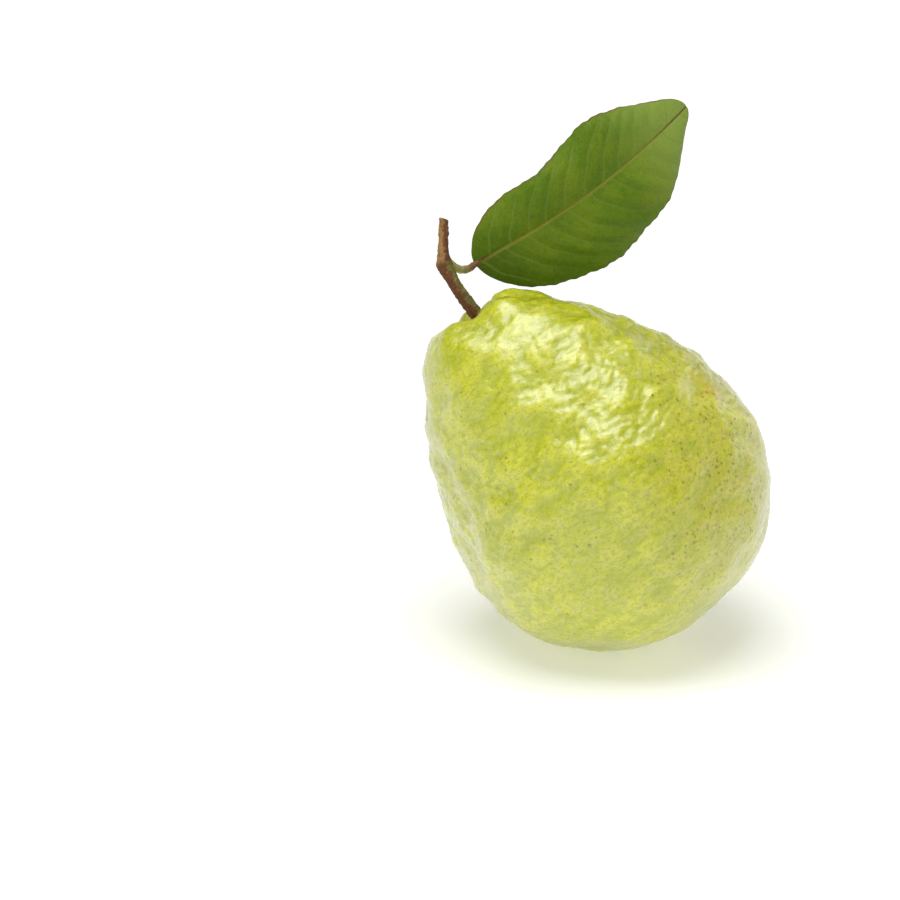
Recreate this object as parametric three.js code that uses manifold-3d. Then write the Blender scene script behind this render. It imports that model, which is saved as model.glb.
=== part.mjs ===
// A guava as picked: the lumpy pale green fruit, the short twig that it hung from, the one leaf left on the
// twig, and the dry calyx at the blossom end. Millimetres, +Z up. The fruit lies on a small flat spot round
// the origin, with its stem end raised towards -X and the leaf spread above it, its upper side facing -Y.
import * as THREE from "three";
import { mergeVertices } from "three/addons/utils/BufferGeometryUtils.js";
import Module from "manifold-3d";

const wasm = await Module();
wasm.setup();

// Driving sizes of the fruit
const FRUIT_WIDTH = 80;
const FRUIT_LEAN_DEG = 39; // of the stem end from upright, towards -X
const FRUIT_TURN_DEG = -8; // then about Z
const FRUIT_MIDDLE = new THREE.Vector3(-1.2, 0.2, 40.3); // of the widest round, above the resting spot
const FRUIT_FACETS = 20; // cuts along each edge of the icosahedron that the skin starts from
const FRUIT_CROWDING = 0.15; // how much the facets crowd towards the hollows at the two ends

// How far the skin is from the fruit's middle, as a share of half its width, from the stem to the blossom end
const SKIN_REACH = [1.365, 1.325, 1.17, 1.05, 0.998, 0.992, 1, 1.015, 1.03, 1.042, 1.048, 1.05, 1.04];
const REACH_STEP_DEG = 15;

// The hollows at the two ends, and the lobes of the shoulder round the stem, taller on one side
const STEM_HOLLOW = { depth: 7, width: 5.6 };
const BLOSSOM_HOLLOW = { depth: 4.6, width: 8.4 };
const LOBES = { count: 5, share: 0.02, angleDeg: 13, spreadDeg: 12, firstDeg: 180 };
const TALL_SIDE = { share: 0.03, towardsDeg: -144 };

// Relief of the skin: each layer's height and wavelength, and how much shorter it is along the fruit
const RELIEF_LAYERS = [
  { height: 0.6, wavelength: 34, squeeze: 1, seed: 3 },
  { height: 0.34, wavelength: 13, squeeze: 1.35, seed: 11 },
  { height: 0.2, wavelength: 8.5, squeeze: 1.35, seed: 23 },
];
const RELIEF_WAVES = 20;
const GOLDEN_ANGLE = Math.PI * (3 - Math.sqrt(5));
const CALM_SPOT = { from: 8, to: 21 }; // round the resting spot, where the relief dies away
const CALM_END = { from: 0.5, to: 1.6 }; // round each end, in widths of its hollow

// The twig, by the points that its middle line passes, with its radius at each
const TWIG_LINE = [
  [-27.8, 4.0, 73.8, 1.7],
  [-31.7, 4.6, 81.1, 1.7],
  [-33.9, 5.6, 84.2, 1.7],
  [-36.9, 7.8, 87.9, 1.55],
  [-38.8, 10, 90.6, 1.6],
  [-40.3, 12.2, 93.1, 1.8],
  [-40.7, 14.2, 96.5, 1.35],
  [-40.7, 15.8, 99.2, 1.2],
  [-40.6, 18, 103.4, 1.15],
];
const TWIG_SIDES = 14;
const TWIG_STEPS = 34;
const TWIG_SCARS = [
  { at: [-41.5, 12.2, 93.6], radius: 0.75 },
  { at: [-41.3, 13.6, 95.1], radius: 0.6 },
  { at: [-39.9, 13.3, 92.4], radius: 0.7 },
];
const SCAR_FACETS = [10, 8];

// The leaf stalk, from the twig's node round to the leaf's base
const STALK_LINE = [
  [-40.4, 13.4, 95.5, 0.75],
  [-39.4, 13.9, 93.8, 0.95],
  [-38.1, 14.8, 92.2, 1],
  [-36.4, 16.3, 91.1, 1],
  [-34.5, 18.2, 90.8, 0.95],
  [-32.5, 20, 91.7, 0.8],
  [-29.8, 20.9, 93.6, 0.55],
];
const STALK_SIDES = 10;
const STALK_STEPS = 20;

// The leaf: where its blade starts, how it is turned, and its half-widths from base to tip at equal steps of
// the half-circle that spaces the stations, so that they crowd at both ends
const LEAF_LENGTH = 67.5;
const LEAF_BASE = new THREE.Vector3(-32.7, 20, 91.6);
const LEAF_HEADING_DEG = 17;
const LEAF_RISE_DEG = 32.6;
const LEAF_ROLL_DEG = 82;
const LEAF_LEFT = [0.7, 3.6, 7.4, 10.2, 11.6, 11.8, 13.4, 15.2, 12.6, 8.8, 5.8, 3, 0.5];
const LEAF_RIGHT = [0.7, 4.4, 8.5, 12.3, 15.2, 17, 17.5, 16.2, 14.1, 9.8, 5, 2.4, 0.5];
const LEAF_THICKNESS = 0.7;
const LEAF_STEPS = 42;
const LEAF_ROWS = [0, 0.1, 0.26, 0.46, 0.66, 0.85, 1]; // from the midrib to a margin, in half-widths
const LEAF_RIB = { height: 0.9, tipHeight: 0.25, spread: 0.08 }; // how far the midrib stands out below
const LEAF_BOW = 1.9; // of the midrib, sideways to the right
const LEAF_ARCH = 3.2; // of the midrib, out of the leaf's plane
const LEAF_TIP_CURL = 4;
const LEAF_CUP = { height: 1.6, turns: 0.375 }; // rise of the blade between midrib and margin
const LEAF_DROOP = 2.4; // fall of the margin
const LEAF_WAVE = { height: 1.1, count: 3.2, phase: 0.9 };

// The calyx: a low dish in a seat in the blossom end, whose rim rises into dry lobes that curl outwards
const CALYX = { radius: 3.9, seatDepth: 1.5, rim: 0.5, wall: 1, floor: 0.1 };
const CALYX_BOSS = { radius: 1.2, height: 0.7 };
const CALYX_SIDES = 50;
const SEPAL = { count: 5, length: 3.9, rows: 5, notch: 0.2, sharpness: 2.4 };
const SEPAL_BEND = { flare: 1.9, curl: 1.5, thickening: 0.6 };

const FIT_GAP = 0.3; // between pieces that meet
const FLOOR_DEPTH = 20;

const radians = THREE.MathUtils.degToRad;
const smoothstep = THREE.MathUtils.smoothstep;

// A smooth run through evenly spaced values, at a place counted in steps from the first
function through(values, place) {
  const last = values.length - 1;
  const from = Math.min(Math.floor(place), last - 1);
  const t = place - from;
  const value = (k) => values[THREE.MathUtils.clamp(k, 0, last)];
  const [a, b, c, d] = [value(from - 1), value(from), value(from + 1), value(from + 2)];
  return b + 0.5 * t * (c - a + t * (2 * a - 5 * b + 4 * c - d + t * (3 * (b - c) + d - a)));
}

// 1 at zero, falling away over about one spread
function bell(offset, spread) {
  return Math.exp(-((offset / spread) ** 2));
}

// A closed geometry as a solid
function solidOf(geometry) {
  const bare = geometry.clone();
  bare.deleteAttribute("normal");
  bare.deleteAttribute("uv");
  const merged = mergeVertices(bare, 1e-4);
  const mesh = new wasm.Mesh({
    numProp: 3,
    vertProperties: new Float32Array(merged.attributes.position.array),
    triVerts: new Uint32Array(merged.index.array),
  });
  return new wasm.Manifold(mesh);
}

function geometryOf(solid) {
  const mesh = solid.getMesh();
  const geometry = new THREE.BufferGeometry();
  geometry.setAttribute("position", new THREE.BufferAttribute(mesh.vertProperties, 3));
  geometry.setIndex(new THREE.BufferAttribute(mesh.triVerts, 1));
  geometry.computeVertexNormals();
  return geometry;
}

// Moves each vertex of a geometry by a function that changes the point it is given
function shaped(geometry, move) {
  const position = geometry.attributes.position;
  const point = new THREE.Vector3();
  for (let i = 0; i < position.count; i++) {
    move(point.fromBufferAttribute(position, i));
    position.setXYZ(i, point.x, point.y, point.z);
  }
  return geometry;
}

// A round bar along a line of [x, y, z, radius] points, closed at both ends, thicker all over by grow
function bar(line, sides, steps, grow = 0) {
  const curve = new THREE.CatmullRomCurve3(line.map(([x, y, z]) => new THREE.Vector3(x, y, z)));
  const radii = line.map((point) => point[3]);
  const frames = curve.computeFrenetFrames(steps, false);
  const straight = new THREE.CylinderGeometry(1, 1, steps, sides, steps);
  return shaped(straight, (point) => {
    const step = Math.round(point.y + steps / 2);
    const radius = through(radii, curve.getUtoTmapping(step / steps) * (line.length - 1)) + grow;
    const across = frames.normals[step].clone().multiplyScalar(-point.x * radius);
    const up = frames.binormals[step].clone().multiplyScalar(point.z * radius);
    point.copy(curve.getPointAt(step / steps)).add(across).add(up);
  });
}

// Waves of one length from many sides at once, which add up to rounded, uneven bumps from about -2 to 2
function ripples(point, wavelength, seed) {
  let sum = 0;
  for (let i = 0; i < RELIEF_WAVES; i++) {
    const height = 1 - (2 * i + 1) / RELIEF_WAVES;
    const reach = Math.sqrt(1 - height * height);
    const turn = GOLDEN_ANGLE * (i + seed);
    const along = point.x * reach * Math.cos(turn) + point.y * reach * Math.sin(turn) + point.z * height;
    sum += Math.cos((2 * Math.PI * along) / wavelength + seed * (i + 1) * (i + 2));
  }
  return sum / Math.sqrt(RELIEF_WAVES / 2);
}

function relief(point) {
  const squeezed = new THREE.Vector3();
  let height = 0;
  for (const layer of RELIEF_LAYERS) {
    squeezed.set(point.x, point.y, point.z * layer.squeeze);
    height += layer.height * ripples(squeezed, layer.wavelength, layer.seed);
  }
  return height;
}

const fruitPlace = new THREE.Matrix4().makeRotationFromEuler(
  new THREE.Euler(0, -radians(FRUIT_LEAN_DEG), radians(FRUIT_TURN_DEG), "ZYX"),
).setPosition(FRUIT_MIDDLE);

// Where the skin is in the direction of a unit vector from the fruit's middle, with +Z towards the stem
function skinPoint(direction) {
  const angle = THREE.MathUtils.radToDeg(Math.acos(THREE.MathUtils.clamp(direction.z, -1, 1)));
  const around = Math.atan2(direction.y, direction.x);
  const lobe = LOBES.share * Math.cos(LOBES.count * (around - radians(LOBES.firstDeg)));
  const tallSide = TALL_SIDE.share * Math.cos(around - radians(TALL_SIDE.towardsDeg));
  const lobed = 1 + (lobe + tallSide) * bell(angle - LOBES.angleDeg, LOBES.spreadDeg);
  const reach = (FRUIT_WIDTH / 2) * through(SKIN_REACH, angle / REACH_STEP_DEG) * lobed;
  const point = direction.clone().multiplyScalar(reach);
  const fromAxis = Math.hypot(point.x, point.y);
  const end = direction.z > 0 ? STEM_HOLLOW : BLOSSOM_HOLLOW;
  const placed = point.clone().applyMatrix4(fruitPlace);
  const offSpot = smoothstep(Math.hypot(placed.x, placed.y), CALM_SPOT.from, CALM_SPOT.to);
  const onTop = smoothstep(placed.z, FRUIT_MIDDLE.z / 2, FRUIT_MIDDLE.z);
  const offEnds = smoothstep(fromAxis, end.width * CALM_END.from, end.width * CALM_END.to);
  const raised = relief(point) * Math.max(offSpot, onTop) * offEnds;
  return point.addScaledVector(direction, raised - end.depth * bell(fromAxis, end.width));
}

// A unit vector turned towards the nearer end of the fruit
function crowded(direction) {
  const angle = Math.acos(THREE.MathUtils.clamp(direction.z, -1, 1));
  const nearer = angle - FRUIT_CROWDING * Math.sin(2 * angle);
  const around = Math.atan2(direction.y, direction.x);
  return new THREE.Vector3(Math.cos(around), Math.sin(around), 0)
    .multiplyScalar(Math.sin(nearer))
    .setZ(Math.cos(nearer));
}

function fruitSolid() {
  const ball = shaped(new THREE.IcosahedronGeometry(1, FRUIT_FACETS), (point) => {
    point.copy(skinPoint(crowded(point.clone().normalize())));
  });
  const floor = new THREE.BoxGeometry(FRUIT_WIDTH, FRUIT_WIDTH, FLOOR_DEPTH);
  const socket = bar(TWIG_LINE, TWIG_SIDES, TWIG_STEPS, FIT_GAP);
  const seatRadius = CALYX.radius + FIT_GAP;
  const seat = new THREE.CylinderGeometry(seatRadius, seatRadius, 2 * CALYX.seatDepth, CALYX_SIDES);
  return solidOf(ball.applyMatrix4(fruitPlace))
    .subtract(solidOf(floor.translate(0, 0, -FLOOR_DEPTH / 2)))
    .subtract(solidOf(socket))
    .subtract(solidOf(placedCalyx(seat.rotateX(Math.PI / 2))));
}

function scarSolids(grow = 0) {
  return TWIG_SCARS.map(({ at, radius }) =>
    solidOf(new THREE.SphereGeometry(radius + grow, ...SCAR_FACETS).translate(...at)));
}

function twigSolid() {
  const rod = solidOf(bar(TWIG_LINE, TWIG_SIDES, TWIG_STEPS));
  return scarSolids().reduce((twig, scar) => twig.add(scar), rod);
}

// The leaf's half-width at a share of its length, on the side of the sign
function leafWidth(along, side) {
  const station = (Math.acos(1 - 2 * along) / Math.PI) * (LEAF_LEFT.length - 1);
  return through(side > 0 ? LEAF_LEFT : LEAF_RIGHT, station);
}

// A point of the leaf's upper face: along from 0 to 1, and across from -1 at the right margin to 1 at the left
function leafPoint(along, across) {
  const out = Math.abs(across);
  const taper = Math.sin(Math.PI * along);
  const arch = LEAF_ARCH * taper - LEAF_TIP_CURL * along ** 3;
  const cup = LEAF_CUP.height * Math.sin(2 * Math.PI * LEAF_CUP.turns * out) * taper;
  const droop = LEAF_DROOP * out ** 3 * taper;
  const swing = Math.sin(2 * Math.PI * LEAF_WAVE.count * along + LEAF_WAVE.phase * across);
  const wave = LEAF_WAVE.height * swing * out * out * taper;
  return new THREE.Vector3(
    LEAF_LENGTH * along,
    across * leafWidth(along, across) - LEAF_BOW * taper,
    arch + cup - droop + wave,
  );
}

// The blade: an upper and a lower face with the same triangles, and the midrib raised from the lower one
function bladeGeometry() {
  const across = [...LEAF_ROWS.slice(1).reverse().map((place) => -place), ...LEAF_ROWS];
  const row = across.length;
  const points = [];
  for (const face of [0, 1]) {
    for (let i = 0; i <= LEAF_STEPS; i++) {
      const along = (1 - Math.cos((Math.PI * i) / LEAF_STEPS)) / 2;
      const rib = THREE.MathUtils.lerp(LEAF_RIB.height, LEAF_RIB.tipHeight, along);
      for (const place of across) {
        const point = leafPoint(along, place);
        point.z -= face * (LEAF_THICKNESS + rib * bell(place, LEAF_RIB.spread));
        points.push(point);
      }
    }
  }
  const index = [];
  const lower = row * (LEAF_STEPS + 1);
  const quad = (a, b, c, d) => index.push(a, b, c, a, c, d);
  for (let i = 0; i < LEAF_STEPS; i++) {
    for (let j = 0; j < row - 1; j++) {
      const a = i * row + j;
      quad(a, a + row, a + row + 1, a + 1);
      const b = lower + a;
      index.push(b, b + row + 1, b + row, b, b + 1, b + row + 1);
    }
    const [right, left] = [i * row, i * row + row - 1];
    quad(right, lower + right, lower + right + row, right + row);
    quad(left + row, lower + left + row, lower + left, left);
  }
  for (let j = 0; j < row - 1; j++) {
    const [base, tip] = [j, LEAF_STEPS * row + j];
    quad(base + 1, lower + base + 1, lower + base, base);
    quad(tip, lower + tip, lower + tip + 1, tip + 1);
  }
  return new THREE.BufferGeometry().setFromPoints(points).setIndex(index);
}

function leafSolid() {
  const place = new THREE.Matrix4().makeRotationFromEuler(
    new THREE.Euler(radians(LEAF_ROLL_DEG), -radians(LEAF_RISE_DEG), radians(LEAF_HEADING_DEG), "ZYX"),
  ).setPosition(LEAF_BASE);
  const blade = solidOf(bladeGeometry().applyMatrix4(place));
  const stalk = solidOf(bar(STALK_LINE, STALK_SIDES, STALK_STEPS));
  const twigRoom = solidOf(bar(TWIG_LINE, TWIG_SIDES, TWIG_STEPS, FIT_GAP));
  const whole = blade.add(stalk).subtract(twigRoom);
  const leaf = scarSolids(FIT_GAP).reduce((rest, room) => rest.subtract(room), whole);
  return leaf.decompose().sort((a, b) => b.volume() - a.volume())[0];
}

// Takes a geometry whose +Z points out of the blossom end, from the bottom of its hollow, to its place
function placedCalyx(geometry) {
  const bottom = (FRUIT_WIDTH / 2) * SKIN_REACH.at(-1) - BLOSSOM_HOLLOW.depth;
  return geometry.rotateX(Math.PI).translate(0, 0, -bottom).applyMatrix4(fruitPlace);
}

// Cuts the calyx's straight rim down between its lobes, and curls the lobes outwards
function curlSepal(point) {
  const lobe = (SEPAL.count * Math.atan2(point.y, point.x)) / (2 * Math.PI);
  const aside = 2 * Math.abs(lobe - Math.round(lobe));
  const height = SEPAL.notch + (1 - SEPAL.notch) * Math.sqrt(Math.max(0, 1 - aside ** SEPAL.sharpness));
  const straight = Math.max(0, (point.z - CALYX.rim) / SEPAL.length);
  const up = straight * height;
  const radius = Math.hypot(point.x, point.y);
  const stretch = radius > 0 ? 1 + (SEPAL_BEND.flare * up ** 1.5) / radius : 1;
  const thicker = (SEPAL_BEND.thickening * up * up * (CALYX.radius - radius)) / CALYX.wall;
  const fall = SEPAL.length * (straight - up) + SEPAL_BEND.curl * up ** 3 - thicker;
  point.set(point.x * stretch, point.y * stretch, point.z - fall);
}

function calyxSolid() {
  const [outer, inner, bottom] = [CALYX.radius, CALYX.radius - CALYX.wall, FIT_GAP - CALYX.seatDepth];
  const rows = Array.from({ length: SEPAL.rows + 1 }, (_, i) => CALYX.rim + (i * SEPAL.length) / SEPAL.rows);
  const outline = [
    [0, bottom],
    [outer, bottom],
    ...rows.map((z) => [outer, z]),
    ...rows.reverse().map((z) => [inner, z]),
    [inner, CALYX.floor],
    [CALYX_BOSS.radius, CALYX.floor],
    [CALYX_BOSS.radius / 2, CALYX.floor + CALYX_BOSS.height],
    [0, CALYX.floor + CALYX_BOSS.height],
  ];
  const dish = new THREE.LatheGeometry(outline.map(([x, y]) => new THREE.Vector2(x, y)), CALYX_SIDES);
  const calyx = solidOf(shaped(dish.rotateX(Math.PI / 2), curlSepal));
  return solidOf(placedCalyx(geometryOf(calyx)));
}

function piece(name, solid, color, roughness) {
  const material = new THREE.MeshStandardMaterial({ color, roughness, metalness: 0 });
  const mesh = new THREE.Mesh(geometryOf(solid), material);
  mesh.name = name;
  return mesh;
}

const guava = new THREE.Group();
guava.add(
  piece("fruit", fruitSolid(), 0xc3cf4e, 0.35),
  piece("twig", twigSolid(), 0x7a5a44, 0.75),
  piece("leaf", leafSolid(), 0x4c7a1e, 0.5),
  piece("calyx", calyxSolid(), 0x6b4d2e, 0.85),
);

export default guava;
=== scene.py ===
"""The looks of a guava as picked: lumpy glossy skin, bark, a veined leaf on its stalk and a dry calyx."""

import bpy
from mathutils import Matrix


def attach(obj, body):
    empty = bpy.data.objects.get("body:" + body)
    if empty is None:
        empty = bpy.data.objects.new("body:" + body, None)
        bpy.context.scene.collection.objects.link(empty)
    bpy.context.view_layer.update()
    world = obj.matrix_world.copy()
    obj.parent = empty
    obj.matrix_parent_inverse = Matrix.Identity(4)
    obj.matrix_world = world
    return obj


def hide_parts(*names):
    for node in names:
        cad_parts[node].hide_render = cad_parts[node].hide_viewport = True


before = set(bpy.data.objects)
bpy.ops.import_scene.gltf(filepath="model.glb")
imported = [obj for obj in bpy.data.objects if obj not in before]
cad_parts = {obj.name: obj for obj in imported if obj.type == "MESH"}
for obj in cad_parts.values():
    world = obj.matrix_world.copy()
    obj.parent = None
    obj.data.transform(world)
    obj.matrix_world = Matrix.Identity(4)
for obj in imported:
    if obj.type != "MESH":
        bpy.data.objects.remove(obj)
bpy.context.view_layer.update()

import math

import bmesh
import bpy
import numpy as np
from bpy.props import FloatProperty, FloatVectorProperty, IntProperty, PointerProperty
from mathutils import Euler, Matrix, Vector

bl_info = {
    "name": "Guava",
    "version": (1, 0, 0),
    "blender": (4, 5, 0),
    "location": "View3D > Sidebar > Guava",
    "description": "Builds a whole guava with its twig, leaf and calyx around its packed solids",
    "category": "Add Mesh",
}

MM = 0.001

# The fruit's form, in millimetres and degrees. Its reach is in half widths, from the stem's end down.
HALF_WIDTH = 40
FRUIT_LEAN_DEG = 39
FRUIT_TURN_DEG = -8
FRUIT_MIDDLE = Vector((-1.2, 0.2, 40.3))
SKIN_REACH = (1.365, 1.325, 1.17, 1.05, 0.998, 0.992, 1, 1.015, 1.03, 1.042, 1.048, 1.05, 1.04)
REACH_STEP_DEG = 15
STEM_HOLLOW = {"depth": 7, "width": 5.6}
BLOSSOM_HOLLOW = {"depth": 4.6, "width": 8.4}
CALYX_SEAT = {"depth": 1.2, "edge": (4.1, 3.3)}
LOBES = {"count": 5, "share": 0.024, "angle": 13, "spread": 12, "first": 180}
TALL_SIDE = {"share": 0.032, "towards": -144}
FULL_SIDE = {"share": 0.013, "towards": -144, "spread": 52}  # one full shoulder in place of two lobes
SMOOTH_END = {"share": 0.4, "from": (-0.5, 0.3)}  # less relief towards the blossom end
GOLDEN_ANGLE = math.pi * (3 - math.sqrt(5))
CALM_SPOT = (8, 21)  # round the resting spot, where the relief dies away
CALM_END = (0.5, 1.6)  # round each end, in widths of its hollow

# Where the skin is blushed, and the side where it is specked and tinted paler as a painted sheen at the
# right rim, by the way from the fruit's middle, and how strongly
BLUSH = {"towards": (0.58, -0.33, 0.74), "from": (0.982, 0.998), "share": 0.8}
SPECKED_SHEEN_SIDE = {"towards": (0.94, -0.28, 0.2), "from": (0.35, 0.95), "blush": 0.28}

# Sizes in the skin's colours and bump, in millimetres, and how much shorter they are along the fruit
PATCHES, FLECKS, GRAIN, PORES, SPECKS, SPECK_CROWDS = 14, 2.8, 1.1, 0.5, 1.5, 6
GRAIN_STRETCH = (1, 1, 0.7)
SPECK_BEND = {"size": 1.1, "reach": 0.9}
SKIN_BUMP = 0.085

# Relief of the skin: height, wavelength, how much shorter it is along the fruit, seed, number of waves
RELIEF_LAYERS = ((0.6, 34, 1, 3, 20), (0.27, 13, 1.35, 11, 20), (0.15, 8.5, 1.35, 23, 20))

# The fine wrinkles and the creases on them, whose length and height are shares of the wrinkles'
WRINKLES = {"seed": 41, "waves": 36, "squeeze": (1, 1, 1.6)}
CREASES = {"seed": 57, "waves": 36, "squeeze": (1, 1, 1.5)}
CREASE_LENGTH = 0.62
CREASE_HEIGHT = 0.4

# The twig and the leaf stalk, by points of their middle lines, with the radius at each
TWIG_LINE = (
    (-27.8, 4.0, 73.8, 1.7),
    (-31.7, 4.6, 81.1, 1.7),
    (-33.9, 5.6, 84.2, 1.7),
    (-36.9, 7.8, 87.9, 1.55),
    (-38.8, 10, 90.6, 1.6),
    (-40.3, 12.2, 93.1, 1.8),
    (-40.7, 14.2, 96.5, 1.35),
    (-40.7, 15.8, 99.2, 1.2),
    (-40.6, 18, 103.4, 1.15),
)
TWIG_NODE = 5 / 8  # where the leaf stalk leaves, as a share of the twig
TWIG_CUT_SLANT = -0.28  # rise per millimetre across
TWIG_PORES = 46
TWIG_SWELLS = ((0.22, TWIG_NODE, 0.03), (0.14, 0.9, 0.012))  # height, share of the twig, spread
BARK_GRAIN = {"wavelength": 1.5, "seed": 5, "waves": 30, "squeeze": (1, 1, 0.4)}
BARK_FINE = {"wavelength": 0.7, "seed": 9, "waves": 30, "squeeze": (1, 1, 0.6)}
TWIG_SCARS = ((-41.5, 12.2, 93.6, 0.75), (-41.3, 13.6, 95.1, 0.6), (-39.9, 13.3, 92.4, 0.7))
STALK_LINE = (
    (-40.4, 13.4, 95.5, 0.75),
    (-39.4, 13.9, 93.8, 0.95),
    (-38.1, 14.8, 92.2, 1),
    (-36.4, 16.3, 91.1, 1),
    (-34.5, 18.2, 90.8, 0.95),
    (-32.5, 20.3, 91.7, 0.75),
    (-29.8, 21.7, 93.5, 0.35),
)
STALK_GROOVE = {"depth": 0.5, "spread": 0.5, "at_deg": 40}
STALK_RELIEF = {"wavelength": 1.1, "seed": 13, "waves": 24, "squeeze": (1, 1, 0.6)}

# The leaf, in millimetres and degrees. Its half-widths run from base to tip, closer near both ends.
LEAF_LENGTH = 67.5
LEAF_BASE = Vector((-32.7, 20, 91.6))
LEAF_HEADING_DEG = 17
LEAF_RISE_DEG = 32.6
LEAF_ROLL_DEG = 82
LEAF_LEFT = (0.7, 3.6, 7.4, 10.2, 11.6, 11.8, 13.4, 15.2, 12.6, 8.8, 5.8, 3, 0.5)
LEAF_RIGHT = (0.7, 4.6, 9.2, 13.2, 16.1, 17.8, 18, 16.5, 14.2, 9.8, 5, 2.4, 0.5)
LEAF_RIB = {"height": 0.9, "tip": 0.25, "spread": 0.8}
LEAF_BOW = 1.9
LEAF_ARCH = 3.2
LEAF_TIP_CURL = 4
LEAF_CUP = {"height": 1.6, "turns": 0.375}
LEAF_DROOP = 2.4
LEAF_WAVE = {"height": 1.1, "count": 3.2, "phase": 0.9}

# Side veins on the left and right of the midrib: spacing, start, lean towards the tip, and bend
VEINS_LEFT = {"spacing": 5.6, "start": 0.3, "lean": 0.36, "bend": 0.045}
VEINS_RIGHT = {"spacing": 6.3, "start": 0.75, "lean": 0.3, "bend": 0.037}
VEIN_WIDTH = 0.22
VEIN_PACKING = 0.85  # the space between two veins, square to them, as a share of their spacing
LEAF_PATCHES, LEAF_MOTTLE, LEAF_FINE, LEAF_NET = 9, 1.3, 0.45, 1.3  # sizes in its colours

# The calyx's dry lobes and threads, in millimetres
SEPAL_LENGTH = 3.8
SEPAL_HALF_WIDTH = 1.7
SEPAL_FOOT = 0.5
SEPAL_SINK = 0.55  # how far inside the dish's rim they start
STAMEN_REACH = 2.5
STAMEN_HEIGHT = (0.7, 1.7)
STAMEN_RADIUS = (0.05, 0.08)
STYLE = {"radius": 0.13, "stretch": 1.5}  # the thicker, longer thread in the middle

# The stage, in metres. A softbox has its name, middle, side, and share of the power that is set.
CAMERA_SPOT = (-0.03905, -0.58782)
LIT_SPOT = Vector((0, 0, 0.045))
SOFTBOXES = (
    ("softbox_top", (-0.06, -0.1, 0.66), 0.46, 1),
    ("softbox_front", (-0.5, -0.9, 0.4), 0.9, 0.4),
    ("softbox_back", (0.75, 0.45, 0.4), 0.5, 0.3),
)
FLOOR_RADIUS = 4
FLOOR_GLOW = {"from": 0.1, "to": 0.8, "near": 0.45}  # how the glow grows with distance
HORIZON_BAND = (0.08, 0.24)  # heights in the sky between which the low light fades


def colour(name, red, green, blue, about):
    """A colour setting, in linear values"""
    return FloatVectorProperty(
        name=name, description=about, default=(red, green, blue), subtype="COLOR", min=0, max=1
    )


class GuavaSkinSettings(bpy.types.PropertyGroup):
    """Sizes and colours of the fruit's skin"""

    width: FloatProperty(
        name="Width", description="Across the widest round", default=2 * HALF_WIDTH * MM,
        subtype="DISTANCE",
    )
    cells: IntProperty(
        name="Cells", description="Squares along each edge of the cube that the skin is made from",
        default=126,
    )
    wrinkle_height: FloatProperty(
        name="Wrinkle height", description="Of the fine wrinkles", default=0.1 * MM, subtype="DISTANCE"
    )
    wrinkle_length: FloatProperty(
        name="Wrinkle length", description="From one fine wrinkle to the next", default=3.3 * MM,
        subtype="DISTANCE",
    )
    ripe: colour("Ripe", 0.68, 0.68, 0.022, "Raised skin")
    green: colour("Green", 0.46, 0.505, 0.004, "Skin in the dimples")
    deep: colour("Deep", 0.29, 0.35, 0.003, "The darkest grain")
    dull: colour("Dull", 0.58, 0.58, 0.1, "Pale flecks, mostly towards the blossom end")
    # dull also tints the specked right side paler, as a painted sheen at the right rim
    blush: colour("Blush", 0.6, 0.45, 0.025, "The warm patches")
    speck: colour("Speck", 0.25, 0.19, 0.003, "The small dots")


class GuavaTwigSettings(bpy.types.PropertyGroup):
    """Sizes and colours of the twig"""

    sides: IntProperty(name="Sides", description="Of the round bar", default=64)
    rings: IntProperty(name="Rings", description="Along the bar", default=260)
    bark_height: FloatProperty(
        name="Bark height", description="Of the bark's ridges", default=0.07 * MM, subtype="DISTANCE"
    )
    # tan also paints the light on the upper twig's left side, and plum the shade on its right side
    tan: colour("Tan", 0.3, 0.17, 0.055, "The upper twig's sunny side")
    plum: colour("Plum", 0.115, 0.042, 0.012, "The purple-brown side")
    olive: colour("Olive", 0.12, 0.12, 0.025, "The greenish bark of the lower twig")
    groove: colour("Groove", 0.035, 0.018, 0.006, "The darkest cracks")
    wood: colour("Wood", 0.45, 0.33, 0.17, "The cut end")


class GuavaLeafSettings(bpy.types.PropertyGroup):
    """Sizes and colours of the leaf and its stalk"""

    thickness: FloatProperty(
        name="Thickness", description="Of the blade", default=0.4 * MM, subtype="DISTANCE"
    )
    columns: IntProperty(name="Columns", description="Squares along the blade", default=300)
    rows: IntProperty(name="Rows", description="Squares across the blade", default=150)
    vein_depth: FloatProperty(
        name="Vein depth", description="How far the side veins are sunk", default=0.16 * MM,
        subtype="DISTANCE",
    )
    blade: colour("Blade", 0.09, 0.172, 0.002, "The upper side")
    patch: colour("Patch", 0.14, 0.21, 0.003, "The yellowish patches")
    dark: colour("Dark", 0.052, 0.1, 0.001, "The darker green between")
    # pale is a painted reflection: the upper side paler and greyer towards the tip, where it catches the
    # light
    pale: colour("Pale", 0.27, 0.36, 0.07, "The upper side near the tip")
    under: colour("Under", 0.14, 0.2, 0.05, "The lower side")
    vein: colour("Vein", 0.17, 0.24, 0.035, "The side veins")
    rib: colour("Midrib", 0.26, 0.26, 0.03, "The midrib")
    margin: colour("Margin", 0.13, 0.07, 0.02, "The thin brown margin")
    stalk: colour("Stalk", 0.36, 0.33, 0.12, "The leaf stalk")
    russet: colour("Russet", 0.2, 0.075, 0.025, "The leaf stalk towards the blade")
    groove: colour("Groove", 0.07, 0.03, 0.012, "The dark groove of the stalk")


class GuavaCalyxSettings(bpy.types.PropertyGroup):
    """Sizes and colours of the dry calyx"""

    radius: FloatProperty(
        name="Radius", description="Of the dish", default=3.9 * MM, subtype="DISTANCE"
    )
    sepals: IntProperty(name="Sepals", description="Dry lobes round the dish", default=5)
    stamens: IntProperty(name="Stamens", description="Dry threads in the dish", default=36)
    dry: colour("Dry", 0.17, 0.085, 0.03, "The dry lobes")
    pale: colour("Pale", 0.33, 0.24, 0.11, "Their worn edges")


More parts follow.
